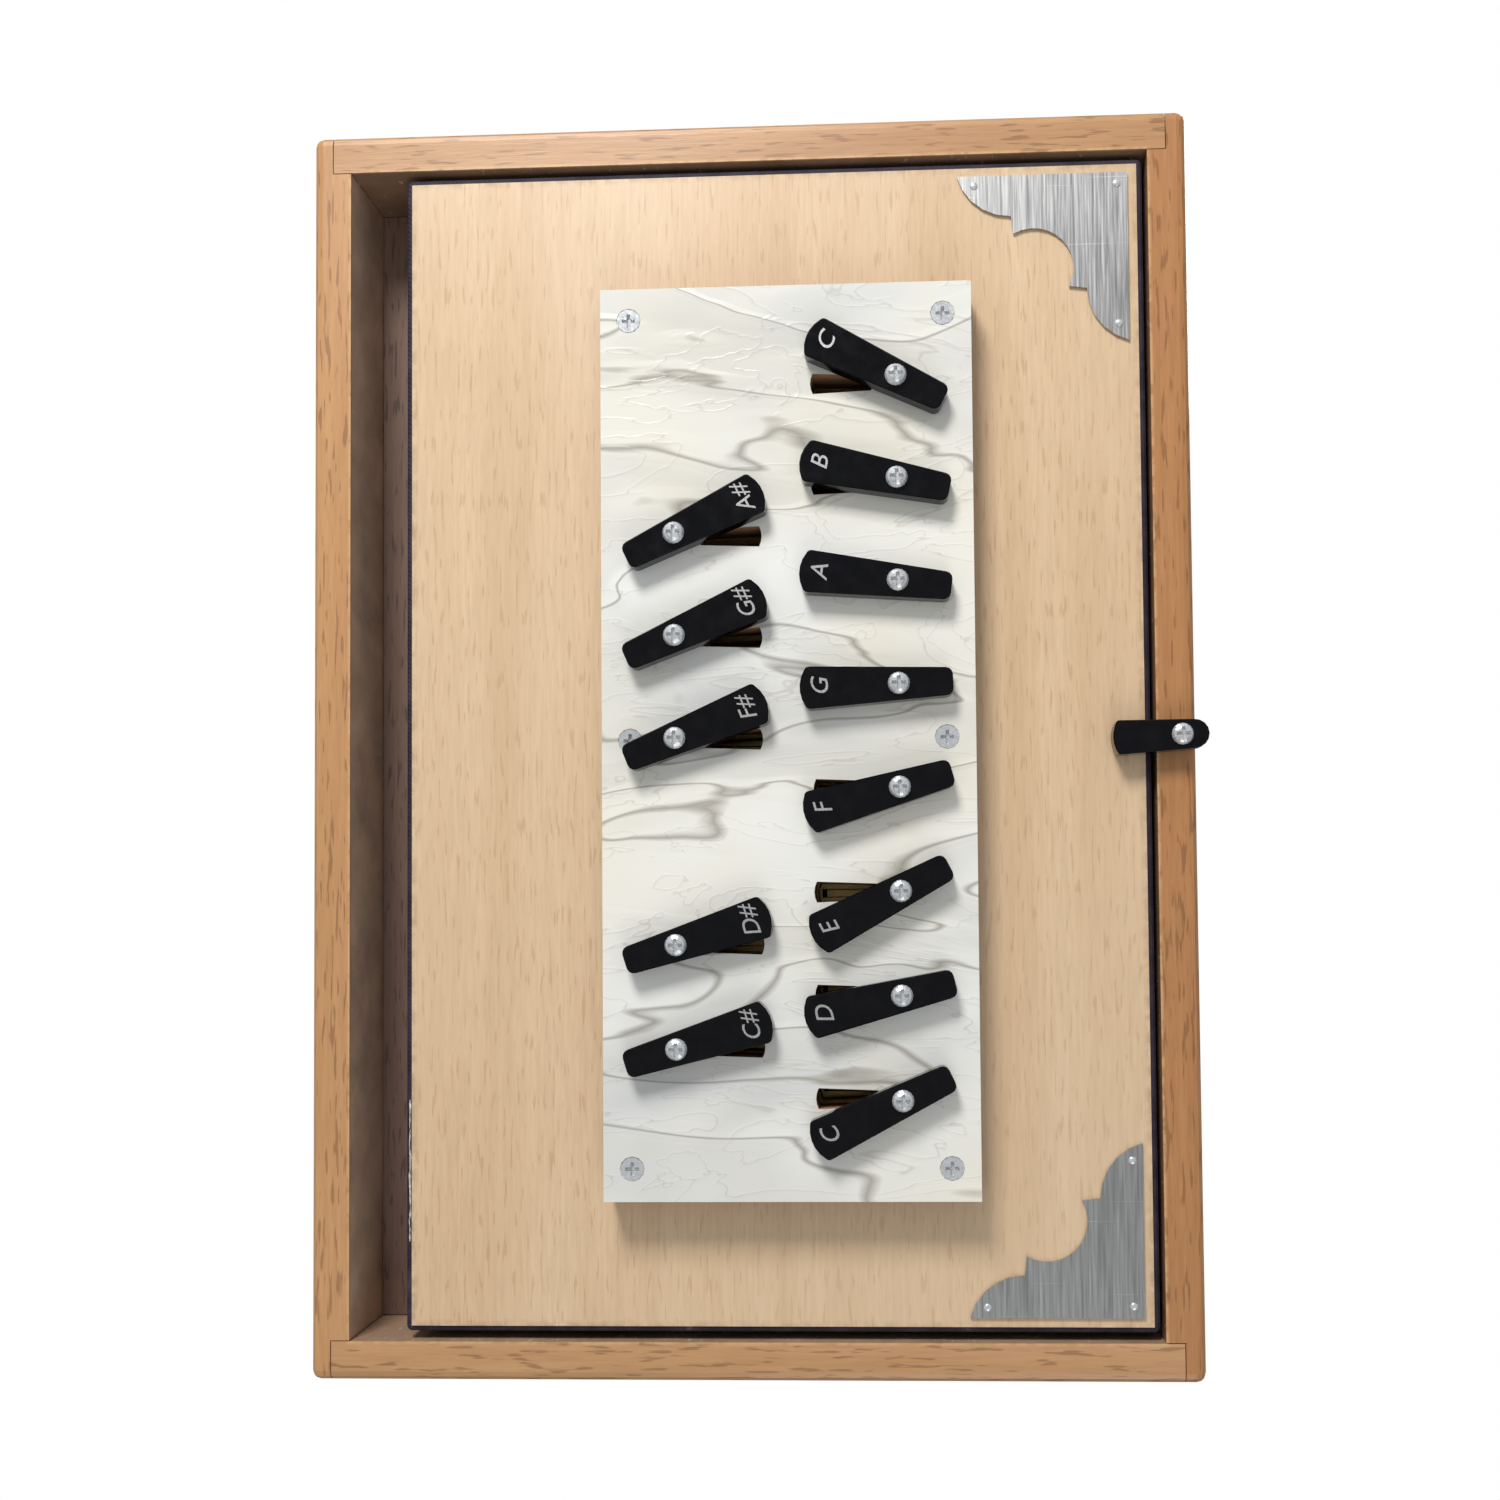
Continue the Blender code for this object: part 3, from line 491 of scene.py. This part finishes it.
clouds = made.noise(14.0, 3.0, made.scaled((1, 1, 0.4)))
colour = made.mix(made.step(clouds, 0.35, 0.7, 0.0, 0.3), colour, (0.80, 0.62, 0.42))
roughness = made.step(clouds, 0.3, 0.7, 0.28, 0.42)
veneer = made.material(colour, roughness, fibres, 0.1 * MM, 0.3)
dress(["reservoir_board", "pump_board"], veneer)

# Cloth edges: the bellows cloth is wrapped up each board's edge, almost to its face, and
# shows as a dark rounded border all round. Each section point is (out from the edge, in
# from the face), and the last two lie near the board's back.
BORDER = 2.0 * MM
CLEAR = 0.1 * MM
BACK_CLEAR = 0.3 * MM
ARC_STEPS = 6
for board, body, inwards in (("reservoir_board", "reservoir", 1), ("pump_board", "pump", -1)):
    low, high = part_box(board)
    thick = high[1] - low[1]
    face = low[1] if inwards > 0 else high[1]
    hoops = []
    for out, into in (
        (CLEAR, 0.5 * MM), (BORDER * 0.55, 0.6 * MM), (BORDER * 0.9, 1.1 * MM),
        (BORDER, 2.0 * MM), (BORDER, thick - BACK_CLEAR), (CLEAR, thick - BACK_CLEAR),
    ):
        hoop = []
        for quarter, (side, end) in enumerate((
            (high[0], high[2]), (low[0], high[2]), (low[0], low[2]), (high[0], low[2]),
        )):
            for k in range(ARC_STEPS + 1):
                turn = math.pi / 2 * (quarter + k / ARC_STEPS)
                x, z = side + out * math.cos(turn), end + out * math.sin(turn)
                hoop.append((x, face + inwards * into, z))
        hoops.append(hoop)
    name = board + "_cloth_edge"
    piece = piece_of(name, mesh_of(hoop_shell(hoops), name), cloth)
    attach(piece, body)

# Tab plate: brown wood faced with creased pearl celluloid and screwed to the front board.
# The wood shows in the slots, and deeper than 8.4 mm in them it is painted near black as
# shade. The creases lie mostly across, so their pattern is stretched along X. Each crease is
# painted as a dark line, with painted shade greying one side of it.
PLATE_FACE_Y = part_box("tab_plate")[0][1]
SKIN = 0.3 * MM
SLOT_SHADE_DEPTH = 8.4 * MM
made = Finish("pearl_and_wood")
flowing = made.scaled((0.5, 1.0, 1.5), turn=(0, 0.10, 0))
swell = made.noise(12.0, 2.5, flowing, 0.45, 1.6)
ripple = made.noise(27.0, 3.0, flowing, 0.5, 2.2)
tone = made.noise(9.0, 3.0, flowing, 0.5, 0.8)
warmth = made.noise(12.0, 2.0)
crest = made.distance(swell, 0.5)
wrinkle = made.distance(ripple, 0.47)
pearl = made.ramp(tone, [
    (0.34, (0.66, 0.66, 0.64)), (0.44, (0.84, 0.83, 0.78)),
    (0.56, (0.93, 0.92, 0.87)), (0.68, (0.97, 0.97, 0.95)),
])
pearl = made.mix(made.step(warmth, 0.40, 0.60, 0.0, 0.6), pearl, (0.90, 0.83, 0.67))
# Painted shade: one side of each fold is greyed, and each crease and finer wrinkle is painted
# as a dark line.
pearl = made.mix(made.step(swell, 0.5, 0.58, 0.0, 0.3), pearl, (0.60, 0.58, 0.53))
pearl = made.mix(made.step(crest, 0.012, 0.0, 0.0, 0.7), pearl, (0.27, 0.24, 0.19))
pearl = made.mix(made.step(wrinkle, 0.007, 0.0, 0.0, 0.35), pearl, (0.42, 0.38, 0.31))
creases = made.maths(
    "ADD", made.step(crest, 0.05, 0.0), made.times(made.step(wrinkle, 0.03, 0.0), 0.35)
)
x, y, z = made.axes()
skin = made.step(y, PLATE_FACE_Y + 1.5 * SKIN, PLATE_FACE_Y + SKIN)
grain = made.noise(160.0, 4.0, made.scaled((1, 1, 0.08)))
# Painted shade: deeper than 8.4 mm into the slots the wood is painted near black, where the
# slot walls fall in shadow.
behind = made.step(y, PLATE_FACE_Y + SLOT_SHADE_DEPTH, PLATE_FACE_Y + SLOT_SHADE_DEPTH + 0.8 * MM)
timber_with_slot_shade = made.mix(behind, (0.42, 0.24, 0.13), (0.12, 0.06, 0.035))
timber_with_slot_shade = made.mix(made.step(grain, 0.35, 0.65, 0.0, 0.5), timber_with_slot_shade, (0.20, 0.11, 0.06))
made.wire(made.shader, "Coat Weight", made.times(skin, 0.7))
plate = made.material(
    made.mix(skin, timber_with_slot_shade, pearl), made.step(skin, 0.0, 1.0, 0.65, 0.2), creases, 0.8 * MM, 0.2
)
dress(["tab_plate"], plate)

# Screws: turned steel plated in bright zinc, with fine tool marks. They hold the plate, the
# tabs and the latches.
made = Finish("zinc_plate", metallic=0.5)
marks = made.noise(1400.0, 4.0)
colour = made.mix(made.step(marks, 0.35, 0.7), (0.74, 0.76, 0.77), (0.90, 0.91, 0.92))
roughness = made.step(marks, 0.3, 0.7, 0.2, 0.32)
zinc = made.material(colour, roughness, marks, 0.04 * MM, 0.2)
dress([name for name in nodes if "screw" in name], zinc)

# Tabs and latches: glossy black moulded plastic with light scuffs, each turning on its screw.
# The turns are how far each tab is swung, in degrees, as it was photographed.
TAB_TURNS = {
    "c_low": 25.6, "c_sharp": 16.9, "d": 13.3, "d_sharp": 17.4, "e": 27.3, "f": 15.3,
    "f_sharp": 21.8, "g": 1.9, "g_sharp": 23.5, "a": -7.1, "a_sharp": 25.7, "b": -12.2,
    "c_high": -27.1,
}
made = Finish("black_plastic")
made.shader.inputs["Specular IOR Level"].default_value = 0.4
smudge = made.noise(180.0, 5.0)
scuff = made.noise(2600.0, 2.0, made.scaled((1, 1, 0.05), turn=(0, 0.5, 0)))
colour = made.mix(
    made.step(smudge, 0.4, 0.75, 0.0, 0.6), (0.002, 0.002, 0.003), (0.006, 0.006, 0.007)
)
colour = made.mix(made.step(scuff, 0.7, 0.8, 0.0, 0.15), colour, (0.05, 0.05, 0.055))
roughness = made.step(smudge, 0.3, 0.8, 0.08, 0.26)
black = made.material(colour, roughness, smudge, 0.15 * MM, 0.12)
dress(["tab_" + note for note in TAB_TURNS] + ["front_latch", "rear_latch"], black)

# Note letters: slanted marks engraved near each tab's wide end and filled with silver. They
# read up the picture, with their tops to the left, and sit in the tab's face.
made = Finish("silver_marking", metallic=0.6)
glint = made.noise(1800.0, 3.0)
colour = made.mix(made.step(glint, 0.3, 0.7), (0.45, 0.45, 0.44), (0.72, 0.72, 0.70))
silver = made.material(colour, 0.4, glint, 0.05 * MM, 0.3)
TAB_REACH = 30.2 * MM
LETTER_INSET = 6.4 * MM
NATURAL_SIZE, SHARP_SIZE = 7.6 * MM, 7.3 * MM
LETTER_RISE = 0.03 * MM
LETTER_OUT = 0.02 * MM
SLANT = 0.25
QUARTER_TURN = math.radians(90)
for note, turn in TAB_TURNS.items():
    sharp = note.endswith("sharp")
    words = bpy.data.curves.new("letter", "FONT")
    words.body = note[0].upper() + ("#" if sharp else "")
    words.size = SHARP_SIZE if sharp else NATURAL_SIZE
    words.shear = SLANT
    words.align_x = "CENTER"
    words.align_y = "CENTER"
    words.extrude = LETTER_RISE
    words.resolution_u = 4
    mesh = meshed(words)
    low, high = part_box("tab_screw_" + note)
    tab_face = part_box("tab_" + note)[0][1]
    screw = Vector(((low[0] + high[0]) / 2, tab_face - LETTER_OUT, (low[2] + high[2]) / 2))
    towards_edge = 1 if sharp else -1
    spot = Matrix.Translation(screw) @ Matrix.Rotation(math.radians(turn), 4, (0, -1, 0))
    spot @= Matrix.Translation((towards_edge * (TAB_REACH - LETTER_INSET), 0, 0))
    spot @= Matrix.Rotation(QUARTER_TURN, 4, (0, -1, 0)) @ Matrix.Rotation(QUARTER_TURN, 4, "X")
    mesh.transform(spot)
    piece = piece_of("letter_" + note, mesh, silver)
    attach(piece, "tab_" + note)

# Metal corners: thin sheet, satin brushed along one diagonal and finely scratched. Each is
# held by three small domed nails, two on the leg at the free edge and one on the other leg.
made = Finish("brushed_corner_metal", metallic=0.9)
brushed = made.noise(1500.0, 3.0, made.scaled((1.0, 1.0, 0.03), turn=(0, 0.9, 0)))
scratch = made.noise(700.0, 2.0, made.scaled((0.02, 1.0, 1.0), turn=(0, 0.35, 0)))
colour = made.mix(made.step(brushed, 0.3, 0.7), (0.50, 0.50, 0.49), (0.72, 0.72, 0.71))
colour = made.mix(made.step(scratch, 0.66, 0.7, 0.0, 0.6), colour, (0.88, 0.88, 0.87))
roughness = made.step(brushed, 0.3, 0.7, 0.3, 0.46)
corner_metal = made.material(colour, roughness, brushed, 0.08 * MM, 0.4)
NAIL_PLACES = ((48.5 * MM, 3.2 * MM), (3.4 * MM, 3.6 * MM), (3.2 * MM, 48.5 * MM))
NAIL = 1.25 * MM
NAIL_DOME = 0.45
for name, body in (
    ("reservoir_corner_bottom", "reservoir"), ("reservoir_corner_top", "reservoir"),
    ("pump_corner_bottom", "pump"), ("pump_corner_top", "pump"),
):
    dress([name], corner_metal)
    low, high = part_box(name)
    face = low[1] if body == "reservoir" else high[1]
    work = bmesh.new()
    for from_edge, from_end in NAIL_PLACES:
        z = high[2] - from_end if name.endswith("top") else low[2] + from_end
        spot = Matrix.Translation((high[0] - from_edge, face, z))
        spot @= Matrix.Diagonal((1.0, NAIL_DOME, 1.0, 1.0))
        bmesh.ops.create_uvsphere(work, u_segments=20, v_segments=10, radius=NAIL, matrix=spot)
    nails = name + "_nails"
    piece = piece_of(nails, mesh_of(work, nails, smooth=True), zinc)
    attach(piece, body)

# Old glue: ragged pale flakes of glue and paper, left along the lower left edge of the front
# board where its cloth has frayed.
random.seed(7)
made = Finish("old_glue")
flaky = made.noise(900.0, 4.0)
colour = made.mix(made.step(flaky, 0.35, 0.65), (0.42, 0.38, 0.34), (0.80, 0.78, 0.74))
glue = made.material(colour, 0.8, flaky, 0.3 * MM, 0.6)
GLUE_FROM, GLUE_TO = 43.0 * MM, 85.0 * MM
FLAKE_DEPTH = 0.35 * MM
RAGGED = 0.12 * MM
low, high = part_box("reservoir_board")
work = bmesh.new()
z = GLUE_FROM
while z < GLUE_TO:
    length = random.uniform(2.5, 8.0) * MM
    width = random.uniform(0.35, 0.9) * MM
    x = low[0] - 0.8 * MM + random.uniform(-0.2, 0.2) * MM
    spot = Matrix.Translation((x, low[1] + 0.7 * MM, z + length / 2))
    spot @= Matrix.Rotation(random.uniform(-0.06, 0.06), 4, "Y")
    spot @= Matrix.Diagonal((width / 2, FLAKE_DEPTH, length / 2, 1.0))
    bmesh.ops.create_icosphere(work, subdivisions=2, radius=1.0, matrix=spot)
    z += length * random.uniform(0.45, 0.9)
for vert in work.verts:
    vert.co += Vector([random.uniform(-1, 1) for axis in range(3)]) * RAGGED
piece = piece_of("glue_flakes", mesh_of(work, "glue_flakes"), glue)
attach(piece, "reservoir")
